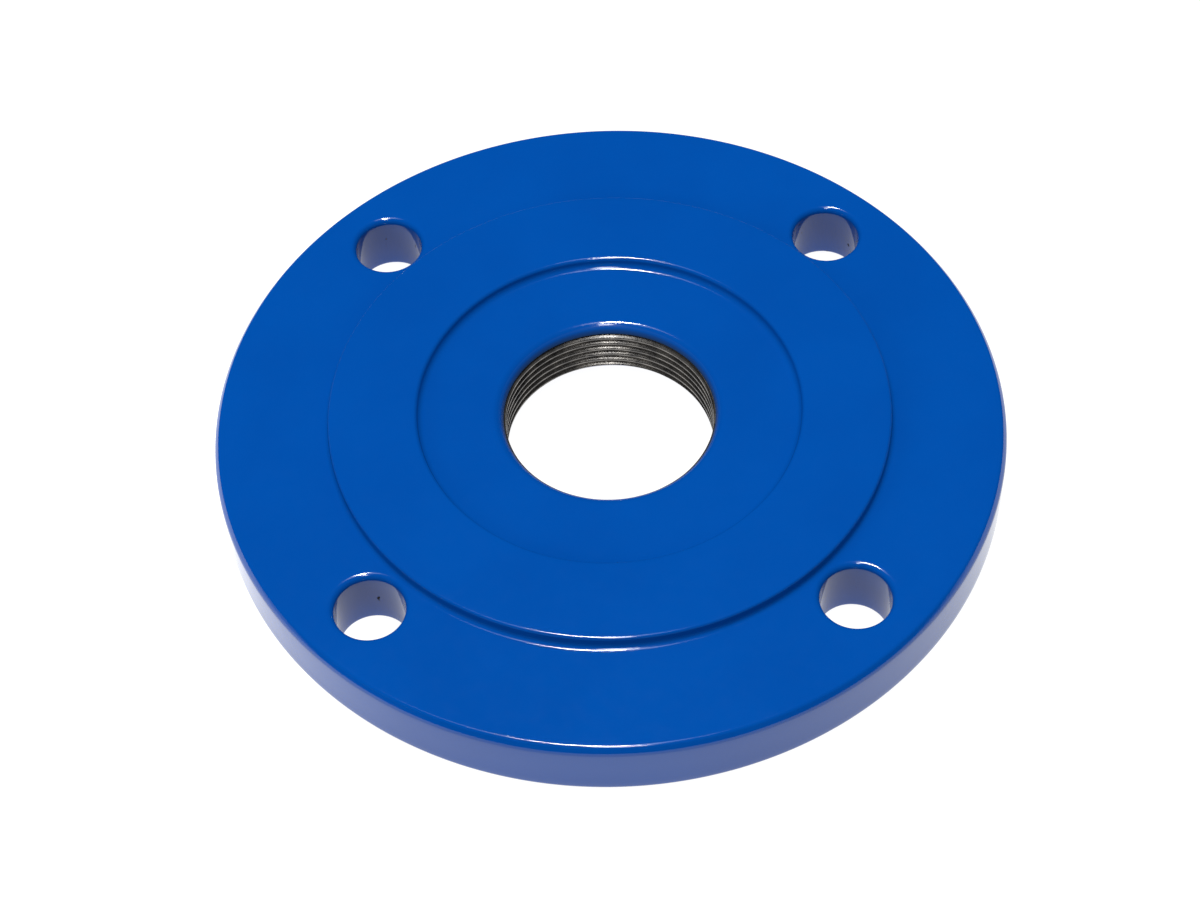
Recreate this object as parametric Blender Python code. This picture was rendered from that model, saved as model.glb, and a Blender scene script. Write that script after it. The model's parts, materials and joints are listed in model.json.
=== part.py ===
"""Blank pipe flange with a tapped centre hole: a ductile iron casting and its epoxy coat.

Metres, +Z up. The flange lies on its back face at z = 0, with its raised gasket face upwards
and its axis on Z. The four bolt holes stand at 45 degrees between the X and Y axes.
"""
from math import atan2, cos, pi, radians, sin, tan

import bmesh
import bpy
from mathutils import Matrix, Vector

# Flange blank, measured over the coat; a ramp's radius is the one halfway up it
FLANGE_RADIUS = 0.108
BOLTING_THICKNESS = 0.019
FACE_RISE = 0.0032
RECESS_DEPTH = 0.0027
OUTER_RAMP_RADIUS = 0.0768
OUTER_RAMP_ANGLE = radians(85)
OUTER_HEAD_FILLET = 0.0008
OUTER_FOOT_FILLET = 0.00145
INNER_RAMP_RADIUS = 0.05235
INNER_RAMP_ANGLE = radians(80)
INNER_HEAD_FILLET = 0.0011
INNER_FOOT_FILLET = 0.0018
RIM_SHOULDER_WIDTH = 0.00135
RIM_SHOULDER_DROP = 0.00186
RIM_TOP_FILLET = 0.0012
RIM_SHOULDER_FILLET = 0.0025
RIM_BACK_FILLET = 0.0025
FACE_HEIGHT = BOLTING_THICKNESS + FACE_RISE
RECESS_HEIGHT = FACE_HEIGHT - RECESS_DEPTH

# Bolt holes, measured over the coat
BOLT_CIRCLE_RADIUS = 0.089
BOLT_HOLE_RADIUS = 0.0094
BOLT_HOLE_COUNT = 4
BOLT_HOLE_START = radians(45)
HOLE_LIP = 0.0011
HOLE_LIP_SWEEP = radians(72)
HOLE_LIP_OVERRUN = 0.0004

# Centre hole: 2 inch parallel pipe thread, 11 turns per inch
THREAD_PITCH = 0.0254 / 11
THREAD_MAJOR_RADIUS = 0.059614 / 2
THREAD_MINOR_RADIUS = 0.0570 / 2
THREAD_FLAT = THREAD_PITCH / 6
THREAD_PHASE = radians(-160)
THREAD_OVERRUN_TURNS = 2
MOUTH_ANGLE = radians(60)
MOUTH_FILLET = 0.003
FRONT_MOUTH_RADIUS = 0.03037
FRONT_END_RADIUS = 0.029
FRONT_MOUTH_DROP = (FRONT_MOUTH_RADIUS - FRONT_END_RADIUS) * tan(MOUTH_ANGLE)
BACK_MOUTH_RADIUS = 0.0313
BACK_END_RADIUS = 0.0299
BACK_MOUTH_DROP = (BACK_MOUTH_RADIUS - BACK_END_RADIUS) * tan(MOUTH_ANGLE)
FRONT_COUNTERSINK_RADIUS = 0.0287
BACK_COUNTERSINK_RADIUS = 0.0298

# Epoxy coat and the gap that keeps the two solids apart
COAT_THICKNESS = 0.0004
COAT_GAP = 0.0003
CASTING_INSET = COAT_THICKNESS + COAT_GAP

# Facets
SHARP_ANGLE = radians(35)
TURNED_SEGMENTS = 60
HOLE_SEGMENTS = 20
FILLET_STEPS = 2
RIM_BACK_STEPS = 3

CUT_MARGIN = 0.004
WELD = 1e-7


def clear_scene():
    for thing in list(bpy.data.objects):
        bpy.data.objects.remove(thing, do_unlink=True)


def material(name, colour, roughness, metallic):
    result = bpy.data.materials.new(name)
    result.use_nodes = True
    shader = result.node_tree.nodes["Principled BSDF"]
    shader.inputs["Base Color"].default_value = (*colour, 1.0)
    shader.inputs["Roughness"].default_value = roughness
    shader.inputs["Metallic"].default_value = metallic
    return result


def turned_left(direction):
    """Outward normal of an outline that runs outwards over the top and down the rim."""
    return Vector((-direction.y, direction.x))


def rounded_outline(corners):
    """Points and outward normals of an outline whose inner corners are (r, z, fillet, steps)."""
    places = [Vector(corner[:2]) for corner in corners]
    runs = [(after - before).normalized() for before, after in zip(places, places[1:])]
    outline = [(places[0], turned_left(runs[0]))]
    for place, corner, arriving, leaving in zip(places[1:-1], corners[1:-1], runs, runs[1:]):
        fillet, steps = corner[2:]
        normal = turned_left(arriving)
        turn = atan2(arriving.cross(leaving), arriving.dot(leaving))
        side = -1 if turn < 0 else 1
        start = place - arriving * fillet * tan(abs(turn) / 2)
        centre = start + normal * fillet * side
        for step in range(steps + 1):
            spoke = Matrix.Rotation(turn * step / steps, 2) @ normal
            outline.append((centre - spoke * fillet * side, spoke))
    outline.append((places[-1], turned_left(runs[-1])))
    return outline


def flange_corners():
    """Corners of the coated flange's half section, from the front mouth round to the back one."""
    inner_half_run = RECESS_DEPTH / tan(INNER_RAMP_ANGLE) / 2
    outer_half_run = FACE_RISE / tan(OUTER_RAMP_ANGLE) / 2
    return [
        (FRONT_END_RADIUS, RECESS_HEIGHT - FRONT_MOUTH_DROP),
        (FRONT_MOUTH_RADIUS, RECESS_HEIGHT, MOUTH_FILLET, FILLET_STEPS),
        (INNER_RAMP_RADIUS - inner_half_run, RECESS_HEIGHT, INNER_FOOT_FILLET, FILLET_STEPS),
        (INNER_RAMP_RADIUS + inner_half_run, FACE_HEIGHT, INNER_HEAD_FILLET, FILLET_STEPS),
        (OUTER_RAMP_RADIUS - outer_half_run, FACE_HEIGHT, OUTER_HEAD_FILLET, FILLET_STEPS),
        (OUTER_RAMP_RADIUS + outer_half_run, BOLTING_THICKNESS, OUTER_FOOT_FILLET, FILLET_STEPS),
        (FLANGE_RADIUS - RIM_SHOULDER_WIDTH, BOLTING_THICKNESS, RIM_TOP_FILLET, FILLET_STEPS),
        (FLANGE_RADIUS, BOLTING_THICKNESS - RIM_SHOULDER_DROP, RIM_SHOULDER_FILLET, FILLET_STEPS),
        (FLANGE_RADIUS, 0.0, RIM_BACK_FILLET, RIM_BACK_STEPS),
        (BACK_MOUTH_RADIUS, 0.0, MOUTH_FILLET, FILLET_STEPS),
        (BACK_END_RADIUS, BACK_MOUTH_DROP),
    ]


def inset_section(inset, bore_radius):
    """The flange's half section, moved inwards by inset and closed along its bore."""
    section = [place - normal * inset for place, normal in rounded_outline(flange_corners())]
    if bore_radius < section[0].x:
        section.append(Vector((bore_radius, section[-1].y)))
        section.append(Vector((bore_radius, section[0].y)))
    return section


def hole_section(inset):
    """Half section of the tool that cuts one bolt hole with rounded lips."""
    lip_centre = BOLT_HOLE_RADIUS + HOLE_LIP
    lip = HOLE_LIP - inset
    sweep = [HOLE_LIP_SWEEP * step / FILLET_STEPS for step in range(FILLET_STEPS + 1)]
    flare = [(lip_centre - lip * cos(angle), lip * sin(angle)) for angle in sweep]
    flare_radius, flare_rise = flare[-1]
    outer_radius = flare_radius + HOLE_LIP_OVERRUN
    flare.append((outer_radius, flare_rise + HOLE_LIP_OVERRUN / tan(HOLE_LIP_SWEEP)))
    flare.append((outer_radius, flare_rise + CUT_MARGIN))
    flare.append((0.0, flare_rise + CUT_MARGIN))
    front = [Vector((radius, BOLTING_THICKNESS - HOLE_LIP + rise)) for radius, rise in flare]
    back = [Vector((radius, HOLE_LIP - rise)) for radius, rise in flare]
    return front[::-1] + back


def spin_section(mesh, section, segments, centre=(0.0, 0.0)):
    """Turn a section about the upright axis through centre and add it to mesh."""
    place = Vector((*centre, 0.0))
    points = [mesh.verts.new(place + Vector((point.x, 0.0, point.y))) for point in section]
    edges = [mesh.edges.new(pair) for pair in zip(points, points[1:])]
    if min(point.x for point in section) > WELD:
        edges.append(mesh.edges.new((points[-1], points[0])))
    bmesh.ops.spin(mesh, geom=points + edges, cent=place, axis=(0, 0, 1), angle=2 * pi,
                   steps=segments, use_merge=True)


def finish_object(name, mesh, finish=None):
    """Weld, face outwards, shade and place a mesh as an object."""
    bmesh.ops.remove_doubles(mesh, verts=mesh.verts, dist=WELD)
    bmesh.ops.recalc_face_normals(mesh, faces=mesh.faces)
    data = bpy.data.meshes.new(name)
    mesh.to_mesh(data)
    mesh.free()
    data.shade_smooth()
    data.set_sharp_from_angle(angle=SHARP_ANGLE)
    result = bpy.data.objects.new(name, data)
    bpy.context.scene.collection.objects.link(result)
    if finish is None:
        result.hide_render = True
        result.display_type = "WIRE"
    else:
        data.materials.append(finish)
    return result


def cut(body, tool):
    modifier = body.modifiers.new("cut_" + tool.name, "BOOLEAN")
    modifier.operation = "DIFFERENCE"
    modifier.solver = "EXACT"
    modifier.object = tool


def bolt_hole_tool(name, inset):
    """All the bolt-hole tools as one object, evenly spaced on the bolt circle."""
    mesh = bmesh.new()
    for index in range(BOLT_HOLE_COUNT):
        angle = BOLT_HOLE_START + 2 * pi * index / BOLT_HOLE_COUNT
        centre = (BOLT_CIRCLE_RADIUS * cos(angle), BOLT_CIRCLE_RADIUS * sin(angle))
        spin_section(mesh, hole_section(inset), HOLE_SEGMENTS, centre)
    return finish_object(name, mesh)


def drilled_flange(name, inset, bore_radius, finish=None):
    """The flange's whole shape at a depth of inset below the coat's outer surface."""
    mesh = bmesh.new()
    spin_section(mesh, inset_section(inset, bore_radius), TURNED_SEGMENTS)
    flange = finish_object(name, mesh, finish)
    cut(flange, bolt_hole_tool(name + "_bolt_holes", inset))
    return flange


def thread_form():
    """One pitch of the tap's tooth line: (radius, height) of the tooth tops and the grooves."""
    flank = THREAD_PITCH / 2 - THREAD_FLAT
    return [(THREAD_MINOR_RADIUS, 0.0), (THREAD_MINOR_RADIUS, THREAD_FLAT),
            (THREAD_MAJOR_RADIUS, THREAD_FLAT + flank), (THREAD_MAJOR_RADIUS, 2 * THREAD_FLAT + flank)]


def thread_tool():
    """A right-hand threaded rod, longer than the hole, closed by a fan at each end."""
    mesh = bmesh.new()
    form = thread_form()
    turns = int(BOLTING_THICKNESS / THREAD_PITCH) + 2 * THREAD_OVERRUN_TURNS
    low = -THREAD_OVERRUN_TURNS * THREAD_PITCH
    columns = []
    for index in range(TURNED_SEGMENTS):
        share = index / TURNED_SEGMENTS
        angle = 2 * pi * share + THREAD_PHASE
        columns.append([mesh.verts.new((radius * cos(angle), radius * sin(angle),
                                        low + THREAD_PITCH * (turn + share) + height))
                        for turn in range(turns) for radius, height in form])
    for left, right in zip(columns, columns[1:] + [columns[0][len(form):]]):
        for lower_left, lower_right, upper_right, upper_left in zip(left, right, right[1:], left[1:]):
            mesh.faces.new((lower_left, lower_right, upper_right, upper_left))
    bottom = [column[0] for column in columns] + columns[0][len(form):0:-1]
    top = [column[-1] for column in columns] + columns[-1][-2:-len(form) - 2:-1]
    for rim, height in ((bottom, low - THREAD_PITCH), (top, low + THREAD_PITCH * (turns + 2))):
        hub = mesh.verts.new((0.0, 0.0, height))
        for before, after in zip(rim, rim[1:] + rim[:1]):
            mesh.faces.new((before, after, hub))
    return finish_object("thread_tool", mesh)


def countersink_tool(name, radius, base_height, direction):
    """A 45 degree cone that opens the thread's mouth and has its stated radius at base_height."""
    tip_radius = THREAD_MINOR_RADIUS - THREAD_PITCH / 4
    tip_height = base_height - direction * (radius - tip_radius)
    top_height = base_height + direction * CUT_MARGIN / 2
    section = [Vector((0.0, top_height)),
               Vector((radius + CUT_MARGIN / 2, top_height)),
               Vector((tip_radius, tip_height)),
               Vector((0.0, tip_height))]
    mesh = bmesh.new()
    spin_section(mesh, section, TURNED_SEGMENTS)
    return finish_object(name, mesh)


def flange_casting():
    """The iron blank under the coat, with its bare tapped hole."""
    iron = material("ductile_iron", (0.055, 0.050, 0.046), 0.42, 0.85)
    bore_blank = THREAD_MINOR_RADIUS - THREAD_PITCH / 2
    casting = drilled_flange("flange_casting", CASTING_INSET, bore_blank, iron)
    ledge_drop = CASTING_INSET * cos(MOUTH_ANGLE)
    front_ledge = RECESS_HEIGHT - FRONT_MOUTH_DROP - ledge_drop
    back_ledge = BACK_MOUTH_DROP + ledge_drop
    cut(casting, thread_tool())
    cut(casting, countersink_tool("front_countersink", FRONT_COUNTERSINK_RADIUS, front_ledge, 1))
    cut(casting, countersink_tool("back_countersink", BACK_COUNTERSINK_RADIUS, back_ledge, -1))


def epoxy_coating():
    """The coat over every face but the tapped hole: an even shell round the iron."""
    epoxy = material("blue_epoxy", (0.0006, 0.0823, 0.4179), 0.16, 0.0)
    coat = drilled_flange("epoxy_coating", 0.0, FRONT_END_RADIUS, epoxy)
    cut(coat, drilled_flange("coat_core", COAT_THICKNESS, THREAD_MINOR_RADIUS))


clear_scene()
flange_casting()
epoxy_coating()
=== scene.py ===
"""Looks of a tapped blind flange: glossy blue epoxy over cast iron, with a bare machined thread.

Metres, +Z up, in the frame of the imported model. The flange lies on its back face at z = 0.
"""
import json
from math import atan2, ceil, cos, pi, radians, sin, sqrt, tan

import bmesh
import bpy
import numpy as np
from mathutils import Matrix, Vector, noise


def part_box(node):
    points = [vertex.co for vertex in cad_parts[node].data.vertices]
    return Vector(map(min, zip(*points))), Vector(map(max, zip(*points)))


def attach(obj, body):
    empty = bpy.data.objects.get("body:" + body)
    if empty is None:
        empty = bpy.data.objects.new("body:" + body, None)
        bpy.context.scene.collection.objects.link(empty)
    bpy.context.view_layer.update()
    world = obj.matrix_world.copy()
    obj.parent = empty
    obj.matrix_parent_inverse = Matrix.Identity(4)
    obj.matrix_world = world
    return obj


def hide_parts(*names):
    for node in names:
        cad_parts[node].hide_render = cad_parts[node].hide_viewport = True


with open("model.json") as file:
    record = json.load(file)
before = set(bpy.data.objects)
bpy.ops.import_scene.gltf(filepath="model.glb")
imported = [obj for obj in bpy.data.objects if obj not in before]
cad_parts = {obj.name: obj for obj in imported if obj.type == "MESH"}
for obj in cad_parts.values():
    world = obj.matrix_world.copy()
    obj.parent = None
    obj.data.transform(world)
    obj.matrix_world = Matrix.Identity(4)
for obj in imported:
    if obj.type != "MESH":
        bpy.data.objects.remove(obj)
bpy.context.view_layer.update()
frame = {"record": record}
mount_heights = {mount["name"]: mount["pos_m"][2] for mount in frame["record"]["mounts"]}

# Flange, measured over the coat; a ramp's radius is the one halfway up it
FLANGE_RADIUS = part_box("epoxy_coating")[1].x
FACE_HEIGHT = mount_heights["gasket_face"]
BOLTING_HEIGHT = mount_heights["bolting_face"]
RECESS_DEPTH = 0.0027
RECESS_HEIGHT = FACE_HEIGHT - RECESS_DEPTH
OUTER_RAMP_RADIUS = 0.0768
OUTER_RAMP_ANGLE = radians(85)
OUTER_HEAD_FILLET = 0.0008
OUTER_FOOT_FILLET = 0.00145
INNER_RAMP_RADIUS = 0.05235
INNER_RAMP_ANGLE = radians(80)
INNER_HEAD_FILLET = 0.0011
INNER_FOOT_FILLET = 0.0018
RIM_SHOULDER_WIDTH = 0.00135
RIM_SHOULDER_DROP = 0.00186
RIM_TOP_FILLET = 0.0012
RIM_SHOULDER_FILLET = 0.0025
RIM_BACK_FILLET = 0.0025

# Bolt holes, measured over the coat
BOLT_CIRCLE_RADIUS = 0.089
BOLT_HOLE_RADIUS = 0.0094
BOLT_HOLE_COUNT = 4
BOLT_HOLE_START = radians(45)
HOLE_LIP = 0.0017

# Centre hole; the thread's three ratios are the Whitworth form's, as shares of the pitch
THREAD_PITCH = 0.0254 / 11
THREAD_MAJOR_RADIUS = 0.059614 / 2
THREAD_MINOR_RADIUS = 0.0570 / 2
THREAD_FLANK_ANGLE = radians(27.5)
THREAD_DEPTH = 0.640327 * THREAD_PITCH
THREAD_SHARP_DEPTH = 0.960491 * THREAD_PITCH
THREAD_ROOT_FILLET = 0.137329 * THREAD_PITCH
THREAD_CREST_EASE = 0.00012
THREAD_PHASE = radians(-160)
MOUTH_ANGLE = radians(60)
MOUTH_FILLET = 0.003
FRONT_MOUTH_RADIUS = 0.03037
FRONT_END_RADIUS = 0.0290
BACK_MOUTH_RADIUS = 0.0313
BACK_END_RADIUS = 0.0299
FRONT_COUNTERSINK_RADIUS = 0.0287
BACK_COUNTERSINK_RADIUS = 0.0298

# Coat: its thickness, the hairline gap that keeps it off the iron, and the depth and the
# lengths of its long and short waves
COAT_THICKNESS = 0.0004
COAT_GAP = 0.00005
WAVE_DEPTH = 0.00003
LONG_WAVE = 0.007
SHORT_WAVE = 0.0025

# Mesh: the flat zones that the bolt holes pierce, and the fineness of each region. A hidden
# surface has fewer pieces than a visible one.
ZONE_INNER_RADIUS = 0.0783
ZONE_OUTER_RADIUS = 0.1049
COLUMNS = 360
HOLE_COLUMNS = 22
THREAD_ROWS_PER_TURN = 20
VISIBLE = {"thrift": 1, "zone_rows": 20, "wall_rows": 8,
           "flat_rings": 8, "lip_rings": 9, "first_bend": radians(28)}
HIDDEN = {"thrift": 3, "zone_rows": 6, "wall_rows": 1,
          "flat_rings": 2, "lip_rings": 3, "first_bend": radians(30)}
WELD = 1e-7
SHARP_ANGLE = radians(50)

# Materials, in linear colours
DEEP_BLUE = (0.0003, 0.058, 0.300)
LIGHT_BLUE = (0.0003, 0.062, 0.315)
SPECK_BLUE = (0.0003, 0.048, 0.262)
THIN_COAT_COLOR = (0.012, 0.026, 0.050)
THIN_COAT_RADIUS = 0.0299
MATTE_COAT_RADIUS = 0.0308
CHIP_COLOR = (0.004, 0.005, 0.010)
CHIP_FADE_RADII = (0.0098, 0.0101)
EPOXY_IOR = 1.47
DARK_IRON = (0.108, 0.105, 0.103)
LIGHT_IRON = (0.280, 0.265, 0.245)
# Painted shade: the colour and heights of the iron darkened just under the coat's edge
PAINTED_SHADE_IRON = (0.030, 0.030, 0.034)
PAINTED_SHADE_HEIGHTS = (RECESS_HEIGHT - 0.0035, RECESS_HEIGHT - 0.0030)
IRON_METALLIC = 0.78

# Studio floor: half its width, the glow's strength on the left and right of two lines, and
# the radii between which it fades
FLOOR_REACH = 3.0
GLOW_LINES = (-0.14, -0.06)
GLOW_STRENGTHS = (1.45, 0.97)
GLOW_FADE_RADII = (0.275, 0.42)
FAR_GLOW = 0.3
FLOOR_COLOR = (0.15, 0.15, 0.15, 1.0)
SKY_STRENGTH = 0.33

# Camera: the point that it looks at, and its place round that point
CAMERA_TARGET = (-0.0027, -0.0135, BOLTING_HEIGHT)
CAMERA_DISTANCE = 0.6999
CAMERA_ELEVATION = radians(52.40)
CAMERA_AZIMUTH = radians(1.467)
CAMERA_ROLL = radians(-2.579)
CAMERA_LENS = 77.8

COLUMN_ANGLES = BOLT_HOLE_START + 2 * pi * (np.arange(COLUMNS) - HOLE_COLUMNS / 2) / COLUMNS
HOLE_CENTRES = [Vector((BOLT_CIRCLE_RADIUS * cos(angle), BOLT_CIRCLE_RADIUS * sin(angle)))
                for angle in (BOLT_HOLE_START + 2 * pi * index / BOLT_HOLE_COUNT
                              for index in range(BOLT_HOLE_COUNT))]


# --------------------------------------------------------------------------- mesh

class Skin:
    """Points and four-sided faces, built ring by ring."""

    def __init__(self):
        self.points = []
        self.faces = []
        self.count = 0

    def add(self, points):
        points = np.asarray(points, float)
        self.points.append(points)
        self.count += len(points)
        return np.arange(self.count - len(points), self.count)

    def bridge(self, first, second, closed=True):
        """Faces between two rows of equal length."""
        if closed:
            first = np.append(first, first[0])
            second = np.append(second, second[0])
        self.faces.append(np.stack([first[:-1], first[1:], second[1:], second[:-1]], axis=1))

    def object(self, name):
        """Weld the points, face outwards and make the object."""
        data = bpy.data.meshes.new(name)
        faces = np.concatenate(self.faces)
        data.from_pydata(np.concatenate(self.points).tolist(), [], faces.tolist())
        mesh = bmesh.new()
        mesh.from_mesh(data)
        bmesh.ops.remove_doubles(mesh, verts=mesh.verts, dist=WELD)
        bmesh.ops.dissolve_degenerate(mesh, edges=mesh.edges, dist=WELD)
        bmesh.ops.recalc_face_normals(mesh, faces=mesh.faces)
        mesh.to_mesh(data)
        mesh.free()
        data.shade_smooth()
        data.set_sharp_from_angle(angle=SHARP_ANGLE)
        result = bpy.data.objects.new(name, data)
        bpy.context.scene.collection.objects.link(result)
        return result


def turned_left(direction):
    """Outward normal of an outline that runs outwards over the top and down the rim."""
    return Vector((-direction.y, direction.x))


def rounded_outline(corners, pieces, thrift):
    """Points and outward normals of an outline.

    The inner corners are (r, z, fillet, steps), and pieces says how many pieces each straight
    run is divided into. Both counts are divided by thrift.
    """
    pieces = [ceil(count / thrift) for count in pieces]
    places = [Vector(corner[:2]) for corner in corners]
    runs = [(after - before).normalized() for before, after in zip(places, places[1:])]
    outline = [(places[0], turned_left(runs[0]))]
    for index, corner in enumerate(corners[1:-1], 1):
        fillet, steps = corner[2], ceil(corner[3] / thrift)
        arriving, leaving = runs[index - 1], runs[index]
        normal = turned_left(arriving)
        turn = atan2(arriving.cross(leaving), arriving.dot(leaving))
        side = -1 if turn < 0 else 1
        start = places[index] - arriving * fillet * tan(abs(turn) / 2)
        centre = start + normal * fillet * side
        outline += straight_run(outline[-1][0], start, normal, pieces[index - 1])
        for step in range(1, steps + 1):
            spoke = Matrix.Rotation(turn * step / steps, 2) @ normal
            outline.append((centre - spoke * fillet * side, spoke))
    outline += straight_run(outline[-1][0], places[-1], turned_left(runs[-1]), pieces[-1])
    return outline


def straight_run(start, end, normal, pieces):
    """The points after start up to end, evenly spaced."""
    return [(start.lerp(end, step / pieces), normal) for step in range(1, pieces + 1)]


def front_outline(thrift):
    """From the coat's front edge in the centre hole to the foot of the outer ramp."""
    inner_half_run = (FACE_HEIGHT - RECESS_HEIGHT) / tan(INNER_RAMP_ANGLE) / 2
    outer_half_run = (FACE_HEIGHT - BOLTING_HEIGHT) / tan(OUTER_RAMP_ANGLE) / 2
    mouth_drop = (FRONT_MOUTH_RADIUS - FRONT_END_RADIUS) * tan(MOUTH_ANGLE)
    corners = [
        (FRONT_END_RADIUS, RECESS_HEIGHT - mouth_drop),
        (FRONT_MOUTH_RADIUS, RECESS_HEIGHT, MOUTH_FILLET, 10),
        (INNER_RAMP_RADIUS - inner_half_run, RECESS_HEIGHT, INNER_FOOT_FILLET, 6),
        (INNER_RAMP_RADIUS + inner_half_run, FACE_HEIGHT, INNER_HEAD_FILLET, 6),
        (OUTER_RAMP_RADIUS - outer_half_run, FACE_HEIGHT, OUTER_HEAD_FILLET, 6),
        (OUTER_RAMP_RADIUS + outer_half_run, BOLTING_HEIGHT, OUTER_FOOT_FILLET, 6),
        (ZONE_INNER_RADIUS, BOLTING_HEIGHT),
    ]
    return rounded_outline(corners, (3, 12, 3, 14, 3, 1), thrift)


def rim_outline(thrift):
    """From the edge of the front zone down the rim to the edge of the back zone."""
    corners = [
        (ZONE_OUTER_RADIUS, BOLTING_HEIGHT),
        (FLANGE_RADIUS - RIM_SHOULDER_WIDTH, BOLTING_HEIGHT, RIM_TOP_FILLET, 10),
        (FLANGE_RADIUS, BOLTING_HEIGHT - RIM_SHOULDER_DROP, RIM_SHOULDER_FILLET, 8),
        (FLANGE_RADIUS, 0.0, RIM_BACK_FILLET, 8),
        (ZONE_OUTER_RADIUS, 0.0),
    ]
    return rounded_outline(corners, (1, 1, 8, 1), thrift)


def back_outline(thrift):
    """From the inner edge of the back zone to the coat's back edge in the centre hole."""
    mouth_drop = (BACK_MOUTH_RADIUS - BACK_END_RADIUS) * tan(MOUTH_ANGLE)
    corners = [
        (ZONE_INNER_RADIUS, 0.0),
        (BACK_MOUTH_RADIUS, 0.0, MOUTH_FILLET, 8),
        (BACK_END_RADIUS, mouth_drop),
    ]
    return rounded_outline(corners, (10, 2), thrift)


def lip_drop(distance, inset):
    """How far a hole's rounded lip lies below the flat at a distance from the hole's axis."""
    lip = HOLE_LIP - inset
    reach = np.clip(BOLT_HOLE_RADIUS + HOLE_LIP - distance, 0.0, lip)
    return lip - np.sqrt(lip * lip - reach * reach)


def sink_lips(points, inset, side):
    """Lower the points that lie on a bolt hole's lip; side is 1 on the front, -1 on the back."""
    for centre in HOLE_CENTRES:
        distance = np.hypot(points[:, 0] - centre.x, points[:, 1] - centre.y)
        points[:, 2] -= side * lip_drop(distance, inset)
    return points


def turned_rings(skin, outline, inset, side=0):
    """Rings of points round the flange's axis along an outline; side is set where lips reach."""
    rings = []
    for place, normal in outline:
        spot = place - normal * inset
        ring = np.stack([spot.x * np.cos(COLUMN_ANGLES), spot.x * np.sin(COLUMN_ANGLES),
                         np.full(COLUMNS, spot.y)], axis=1)
        rings.append(skin.add(sink_lips(ring, inset, side) if side else ring))
    for first, second in zip(rings, rings[1:]):
        skin.bridge(first, second)
    return rings


def flat_zone(skin, inner_ring, outer_ring, rows, height, inset, side):
    """The flat ring that the bolt holes pierce. Returns the ring of each hole's mouth."""
    grid = np.full((rows + 1, COLUMNS + 1), -1)
    grid[0] = np.append(inner_ring, inner_ring[0])
    grid[-1] = np.append(outer_ring, outer_ring[0])
    quarter = COLUMNS // BOLT_HOLE_COUNT
    open_columns = np.flatnonzero((np.arange(COLUMNS) % quarter == 0)
                                  | (np.arange(COLUMNS) % quarter >= HOLE_COLUMNS))
    angles = COLUMN_ANGLES[open_columns]
    for row in range(1, rows):
        radius = ZONE_INNER_RADIUS + (ZONE_OUTER_RADIUS - ZONE_INNER_RADIUS) * row / rows
        ring = np.stack([radius * np.cos(angles), radius * np.sin(angles),
                         np.full(len(angles), height)], axis=1)
        grid[row, open_columns] = skin.add(sink_lips(ring, inset, side))
    grid[:, -1] = grid[:, 0]
    mouths = []
    for index, centre in enumerate(HOLE_CENTRES):
        left = index * quarter
        right = left + HOLE_COLUMNS
        for row in range(rows):
            skin.bridge(grid[row, right:left + quarter + 1],
                        grid[row + 1, right:left + quarter + 1], closed=False)
        border = np.concatenate([grid[0, left:right], grid[:-1, right],
                                 grid[-1, right:left:-1], grid[:0:-1, left]])
        mouths.append(hole_mouth(skin, border, centre, height, inset, side))
    return mouths


def hole_mouth(skin, border, centre, height, inset, side):
    """Rings from a four-sided border of the flat zone in to a bolt hole's rounded lip."""
    fineness = VISIBLE if inset == 0 else HIDDEN
    flat_rings, lip_rings = fineness["flat_rings"], fineness["lip_rings"]
    first_bend = fineness["first_bend"]
    hole_radius = BOLT_HOLE_RADIUS + inset
    lip = HOLE_LIP - inset
    start = np.concatenate(skin.points)[border]
    away = start[:, :2] - np.array(centre)
    spokes = away / np.linalg.norm(away, axis=1)[:, None]
    ring = border
    end_radius = hole_radius + lip * (1 - sin(first_bend))
    for step in range(1, flat_rings + 1):
        share = 1 - (1 - step / flat_rings) ** 2
        spot = start[:, :2] * (1 - share) + (np.array(centre) + spokes * end_radius) * share
        level = np.full((len(spot), 1), height)
        inner = skin.add(sink_lips(np.hstack([spot, level]), inset, side))
        skin.bridge(ring, inner)
        ring = inner
    for step in range(1, lip_rings + 1):
        bend = first_bend + (pi / 2 - first_bend) * step / lip_rings
        spot = np.array(centre) + spokes * (hole_radius + lip * (1 - sin(bend)))
        level = np.full((len(spot), 1), height - side * lip * (1 - cos(bend)))
        inner = skin.add(np.hstack([spot, level]))
        skin.bridge(ring, inner)
        ring = inner
    return ring


def hole_walls(skin, front_mouths, back_mouths, rows):
    """Straight walls between the lips at the front and the back."""
    for top, bottom in zip(front_mouths, back_mouths):
        places = np.concatenate(skin.points)
        ring = top
        for row in range(1, rows):
            inner = skin.add(places[top] + (places[bottom] - places[top]) * row / rows)
            skin.bridge(ring, inner)
            ring = inner
        skin.bridge(ring, bottom)


def flange_skin(skin, inset):
    """The whole flange's surface but its centre hole, at a depth below the coat's surface.

    Hidden surfaces, which have an inset, are coarser. Returns the rings that bound the centre
    hole at the front and the back.
    """
    fineness = VISIBLE if inset == 0 else HIDDEN
    thrift, zone_rows = fineness["thrift"], fineness["zone_rows"]
    front = turned_rings(skin, front_outline(thrift), inset, side=1)
    rim = turned_rings(skin, rim_outline(thrift), inset)
    back = turned_rings(skin, back_outline(thrift), inset)
    front_mouths = flat_zone(skin, front[-1], rim[0], zone_rows, BOLTING_HEIGHT - inset, inset, 1)
    back_mouths = flat_zone(skin, back[0], rim[-1], zone_rows, inset, inset, -1)
    hole_walls(skin, front_mouths, back_mouths, fineness["wall_rows"])
    return front[0], back[-1]


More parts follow.
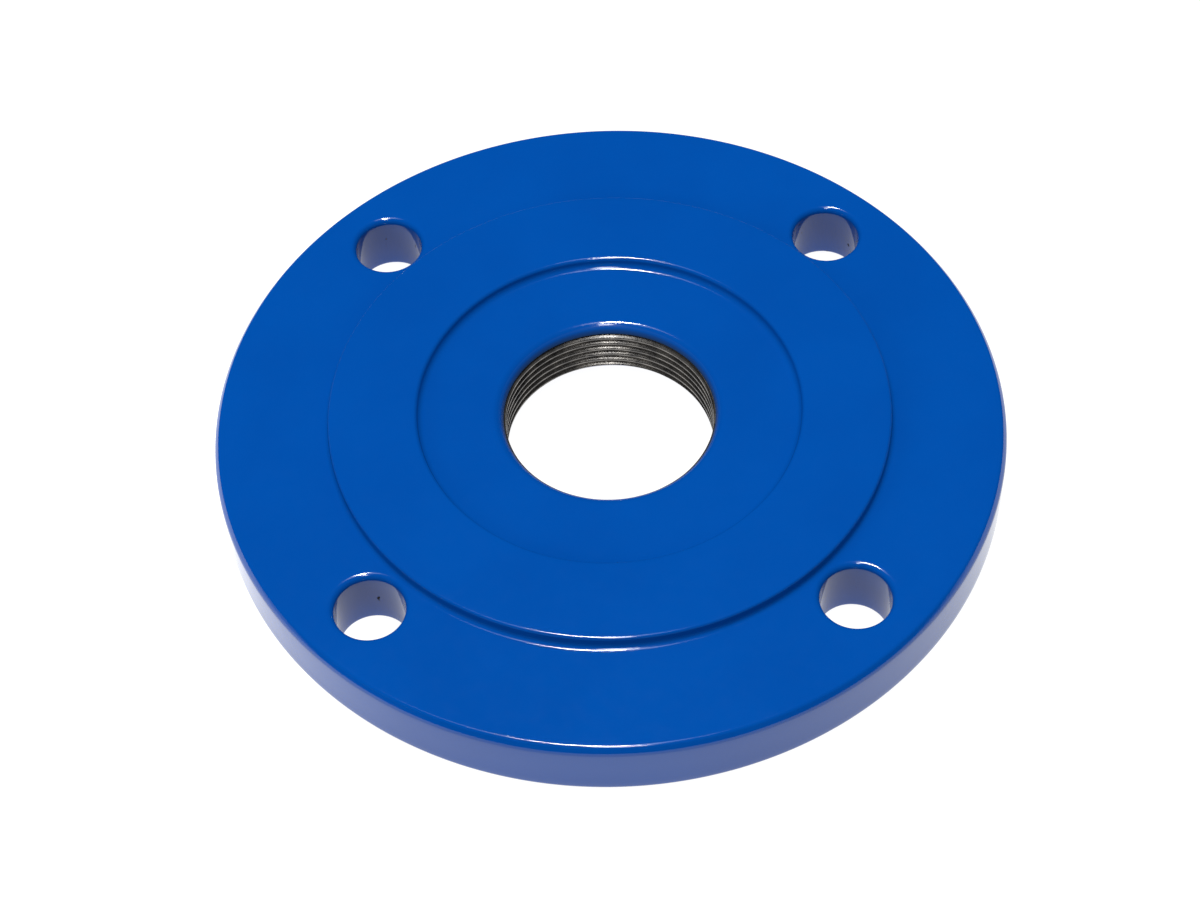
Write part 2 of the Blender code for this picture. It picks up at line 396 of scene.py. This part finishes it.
def coat_piece():
    """The cured coat: a closed shell between its glossy outside and the face on the iron."""
    skin = Skin()
    outer_front, outer_back = flange_skin(skin, 0.0)
    inner_front, inner_back = flange_skin(skin, COAT_THICKNESS)
    skin.bridge(outer_front, inner_front)
    skin.bridge(outer_back, inner_back)
    return skin.object("blue_epoxy_coat")


def thread_radius(height):
    """Radius of the tapped hole at a height above the middle of a groove."""
    pitch_radius = THREAD_MAJOR_RADIUS - THREAD_DEPTH / 2
    sharp_root = pitch_radius + THREAD_SHARP_DEPTH / 2
    from_root = np.abs((height / THREAD_PITCH + 0.5) % 1.0 - 0.5) * THREAD_PITCH
    flank = sharp_root - from_root / tan(THREAD_FLANK_ANGLE)
    root_centre = THREAD_MAJOR_RADIUS - THREAD_ROOT_FILLET
    arc = root_centre + np.sqrt(np.clip(THREAD_ROOT_FILLET ** 2 - from_root ** 2, 0.0, None))
    in_root = from_root < THREAD_ROOT_FILLET * cos(THREAD_FLANK_ANGLE)
    groove = np.where(in_root, arc, flank)
    gap = groove - THREAD_MINOR_RADIUS
    return (groove + THREAD_MINOR_RADIUS + np.sqrt(gap * gap + THREAD_CREST_EASE ** 2)) / 2


def thread_rows(skin, low, high):
    """The helical thread between two heights, row by row along its helix.

    Rows past an end gather in one point of that end, so they weld away.
    """
    turns = int((high - low) / THREAD_PITCH) + 4
    rows = turns * THREAD_ROWS_PER_TURN
    lead = (COLUMN_ANGLES - THREAD_PHASE) % (2 * pi) / (2 * pi) * THREAD_PITCH
    order = np.argsort(lead)
    columns = [None] * COLUMNS
    base = (int(low / THREAD_PITCH) - 2) * THREAD_PITCH
    for column in range(COLUMNS):
        steps = base + np.arange(rows) * THREAD_PITCH / THREAD_ROWS_PER_TURN
        height = np.clip(steps + lead[column], low, high)
        radius = thread_radius(height - lead[column] - THREAD_PITCH / 2)
        cone = np.maximum(FRONT_COUNTERSINK_RADIUS - (high - height),
                          BACK_COUNTERSINK_RADIUS - (height - low))
        radius = np.maximum(radius, cone)
        angle = COLUMN_ANGLES[column]
        columns[column] = skin.add(np.stack([radius * cos(angle), radius * sin(angle), height],
                                            axis=1))
    for left, right in zip(order, np.roll(order, -1)):
        shift = THREAD_ROWS_PER_TURN if lead[right] < lead[left] else 0
        skin.bridge(columns[left][:rows - shift], columns[right][shift:], closed=False)
    top = np.array([column[-1] for column in columns])
    bottom = np.array([column[0] for column in columns])
    return top, bottom


def iron_piece():
    """The casting under the coat, with its bare tapped hole."""
    skin = Skin()
    inset = COAT_THICKNESS + COAT_GAP
    front, back = flange_skin(skin, inset)
    places = np.concatenate(skin.points)
    top, bottom = thread_rows(skin, places[back[0], 2], places[front[0], 2])
    skin.bridge(front, top)
    skin.bridge(bottom, back)
    return skin.object("tapped_iron_casting")


def ripple(piece):
    """Let the wet coat's slight waves show in the surface; it only ever moves inwards."""
    data = piece.data
    places = np.empty(len(data.vertices) * 3)
    normals = np.empty(len(data.vertices) * 3)
    data.vertices.foreach_get("co", places)
    data.vertices.foreach_get("normal", normals)
    places = places.reshape(-1, 3)
    normals = normals.reshape(-1, 3)
    waves = np.array([noise.noise(Vector(place) / LONG_WAVE)
                      + 0.5 * noise.noise(Vector(place) / SHORT_WAVE) for place in places])
    places -= normals * (WAVE_DEPTH * (0.5 + waves / 3).clip(0.0, 1.0))[:, None]
    data.vertices.foreach_set("co", places.ravel())
    data.update()


# --------------------------------------------------------------------------- materials

class Nodes:
    """Short calls for building a material's nodes."""

    def __init__(self, name):
        self.material = bpy.data.materials.new(name)
        self.material.use_nodes = True
        self.tree = self.material.node_tree
        self.shader = self.tree.nodes["Principled BSDF"]

    def add(self, kind, inputs=None, **settings):
        node = self.tree.nodes.new(kind)
        for name, value in settings.items():
            setattr(node, name, value)
        for name, value in (inputs or {}).items():
            socket = node.inputs[name]
            if isinstance(value, bpy.types.NodeSocket):
                self.tree.links.new(value, socket)
            else:
                socket.default_value = value
        return node

    def object_place(self):
        return self.add("ShaderNodeTexCoord").outputs["Object"]

    def noise(self, place, scale, detail, roughness=0.5):
        node = self.add("ShaderNodeTexNoise", {"Vector": place, "Scale": scale, "Detail": detail,
                                               "Roughness": roughness})
        return node.outputs["Fac"]

    def spread(self, value, low, high, to_low=0.0, to_high=1.0):
        node = self.add("ShaderNodeMapRange", {"Value": value, "From Min": low, "From Max": high,
                                               "To Min": to_low, "To Max": to_high})
        return node.outputs["Result"]

    def mix(self, share, first, second):
        node = self.add("ShaderNodeMix", data_type="RGBA")
        for index, value in ((0, share), (6, first), (7, second)):
            if isinstance(value, bpy.types.NodeSocket):
                self.tree.links.new(value, node.inputs[index])
            elif index == 0:
                node.inputs[index].default_value = value
            else:
                node.inputs[index].default_value = (*value, 1.0)
        return node.outputs[2]

    def vector(self, operation, first, second=None):
        inputs = {0: first} if second is None else {0: first, 1: second}
        return self.add("ShaderNodeVectorMath", inputs, operation=operation).outputs["Vector"]

    def length(self, vector):
        return self.add("ShaderNodeVectorMath", {0: vector}, operation="LENGTH").outputs["Value"]

    def math(self, operation, first, second):
        node = self.add("ShaderNodeMath", {0: first, 1: second}, operation=operation)
        return node.outputs["Value"]

    def bump(self, height, distance, strength):
        inputs = {"Height": height, "Distance": distance, "Strength": strength}
        return self.add("ShaderNodeBump", inputs).outputs["Normal"]

    def connect(self, value, socket):
        self.tree.links.new(value, self.shader.inputs[socket])


def epoxy_material():
    """Glossy fusion-bonded epoxy: even deep blue, thin and dull towards the tapped hole."""
    nodes = Nodes("blue_epoxy")
    place = nodes.object_place()
    flat = nodes.vector("MULTIPLY", place, (1.0, 1.0, 0.0))
    thin = nodes.spread(nodes.length(flat), FRONT_END_RADIUS, THIN_COAT_RADIUS, 0.85, 0.0)
    matte = nodes.spread(nodes.length(flat), THIN_COAT_RADIUS, MATTE_COAT_RADIUS, 1.0, 0.0)
    hole = BOLT_CIRCLE_RADIUS * sqrt(0.5)
    spoke = nodes.vector("SUBTRACT", nodes.vector("ABSOLUTE", flat), (hole, hole, 0.0))
    in_hole = nodes.spread(nodes.length(spoke), *CHIP_FADE_RADII, 1.0, 0.0)
    cloud = nodes.noise(place, 35.0, 3.0)
    speck = nodes.noise(place, 1400.0, 2.0)
    blue = nodes.mix(nodes.spread(cloud, 0.35, 0.65), DEEP_BLUE, LIGHT_BLUE)
    blue = nodes.mix(nodes.spread(speck, 0.3, 0.7, 0.0, 0.12), blue, SPECK_BLUE)
    blue = nodes.mix(thin, blue, THIN_COAT_COLOR)
    chip = nodes.spread(nodes.noise(place, 330.0, 3.0), 0.71, 0.73)
    chip = nodes.math("MULTIPLY", chip, in_hole)
    blue = nodes.mix(chip, blue, CHIP_COLOR)
    nodes.connect(blue, "Base Color")
    gloss = nodes.noise(place, 300.0, 2.0)
    gloss = nodes.spread(gloss, 0.3, 0.7, 0.07, 0.10)
    dull = nodes.math("MAXIMUM", matte, chip)
    nodes.connect(nodes.math("MAXIMUM", gloss, nodes.math("MULTIPLY", dull, 0.5)), "Roughness")
    nodes.connect(nodes.spread(dull, 0.0, 1.0, 0.5, 0.06), "Specular IOR Level")
    peel = nodes.noise(place, 560.0, 1.0)
    nodes.connect(nodes.bump(peel, 0.00002, 0.65), "Normal")
    nodes.shader.inputs["IOR"].default_value = EPOXY_IOR
    return nodes.material


def iron_material():
    """Freshly tapped ductile iron, mottled by an oily film, and painted darker just under the
    coat's edge as painted shade.
    """
    nodes = Nodes("ductile_iron")
    place = nodes.object_place()
    blotch = nodes.noise(place, 220.0, 4.0, 0.6)
    grain = nodes.noise(place, 2600.0, 3.0, 0.65)
    grey = nodes.mix(nodes.spread(blotch, 0.35, 0.65), DARK_IRON, LIGHT_IRON)
    height = nodes.add("ShaderNodeSeparateXYZ", {"Vector": place}).outputs["Z"]
    # Painted shade: darken the iron towards the top of the tapped hole, just under the coat's
    # edge
    painted_shade = nodes.spread(height, *PAINTED_SHADE_HEIGHTS, 0.0, 0.6)
    grey = nodes.mix(painted_shade, grey, PAINTED_SHADE_IRON)
    nodes.connect(grey, "Base Color")
    nodes.connect(nodes.spread(grain, 0.3, 0.7, 0.22, 0.35), "Roughness")
    nodes.connect(nodes.bump(grain, 0.00003, 0.6), "Normal")
    nodes.shader.inputs["Metallic"].default_value = IRON_METALLIC
    return nodes.material


# --------------------------------------------------------------------------- studio

def studio_floor():
    """A wide, pale floor that glows round the flange, most on the left, and fades far away."""
    mesh = bmesh.new()
    bmesh.ops.create_grid(mesh, x_segments=2, y_segments=2, size=FLOOR_REACH)
    data = bpy.data.meshes.new("floor")
    mesh.to_mesh(data)
    mesh.free()
    floor = bpy.data.objects.new("floor", data)
    bpy.context.scene.collection.objects.link(floor)
    nodes = Nodes("pale_floor")
    place = nodes.object_place()
    across = nodes.add("ShaderNodeSeparateXYZ", {"Vector": place}).outputs["X"]
    side = nodes.spread(across, *GLOW_LINES, *GLOW_STRENGTHS)
    fade = nodes.spread(nodes.length(place), *GLOW_FADE_RADII, 1.0, FAR_GLOW)
    nodes.connect(nodes.math("MULTIPLY", side, fade), "Emission Strength")
    nodes.shader.inputs["Base Color"].default_value = FLOOR_COLOR
    nodes.shader.inputs["Roughness"].default_value = 0.9
    nodes.shader.inputs["Specular IOR Level"].default_value = 0.0
    nodes.shader.inputs["Emission Color"].default_value = (1.0, 1.0, 1.0, 1.0)
    data.materials.append(nodes.material)


def area_light(name, tilts, distance, size, power, glossy=True):
    """A softbox aimed at the flange; tilts lean it back and left of overhead, in degrees."""
    back, left = (radians(tilt) for tilt in tilts)
    place = Vector((-sin(left), sin(back) * cos(left), cos(back) * cos(left))) * distance
    light = bpy.data.lights.new(name, "AREA")
    light.shape = "RECTANGLE"
    light.size, light.size_y = size
    light.energy = power
    lamp = bpy.data.objects.new(name, light)
    lamp.location = place + Vector((0.0, 0.0, BOLTING_HEIGHT))
    lamp.rotation_euler = place.to_track_quat("Z", "Y").to_euler()
    lamp.visible_glossy = glossy
    lamp.visible_camera = False
    bpy.context.scene.collection.objects.link(lamp)


def studio_light():
    """A softbox overhead in a dim glow, one in front, and a fill that nothing mirrors."""
    area_light("overhead_softbox", (11, 2.5), 4.0, (0.30, 1.1), 124.0)
    area_light("overhead_haze", (11, 4), 4.0, (1.3, 1.3), 12.0)
    area_light("front_softbox", (-16, 0), 3.0, (0.34, 1.1), 22.0)
    area_light("left_fill", (-57, 54), 2.1, (1.0, 1.0), 10.0, glossy=False)
    world = bpy.data.worlds.new("studio")
    world.use_nodes = True
    sky = world.node_tree.nodes["Background"]
    sky.inputs["Color"].default_value = (1.0, 1.0, 1.0, 1.0)
    sky.inputs["Strength"].default_value = SKY_STRENGTH
    bpy.context.scene.world = world
    world.cycles_visibility.glossy = False


def studio_camera():
    """The camera stands in front, looking down at the flange, rolled a little clockwise."""
    away = Vector((sin(CAMERA_AZIMUTH) * cos(CAMERA_ELEVATION),
                   -cos(CAMERA_AZIMUTH) * cos(CAMERA_ELEVATION), sin(CAMERA_ELEVATION)))
    camera = bpy.data.cameras.new("camera")
    camera.sensor_fit = "HORIZONTAL"
    camera.sensor_width = 36.0
    camera.lens = CAMERA_LENS
    camera.clip_start = 0.01
    eye = bpy.data.objects.new("camera", camera)
    aim = (-away).to_track_quat("-Z", "Y").to_matrix()
    eye.matrix_world = (Matrix.Translation(Vector(CAMERA_TARGET) + away * CAMERA_DISTANCE)
                        @ (aim @ Matrix.Rotation(CAMERA_ROLL, 3, "Z")).to_4x4())
    bpy.context.scene.collection.objects.link(eye)
    bpy.context.scene.camera = eye


# --------------------------------------------------------------------------- scene

coat = coat_piece()
ripple(coat)
coat.data.materials.append(epoxy_material())
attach(coat, "root")
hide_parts("epoxy_coating")

iron = iron_piece()
iron.data.materials.append(iron_material())
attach(iron, "root")
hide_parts("flange_casting")

studio_floor()
studio_light()
studio_camera()
bpy.context.scene.view_settings.view_transform = "Standard"
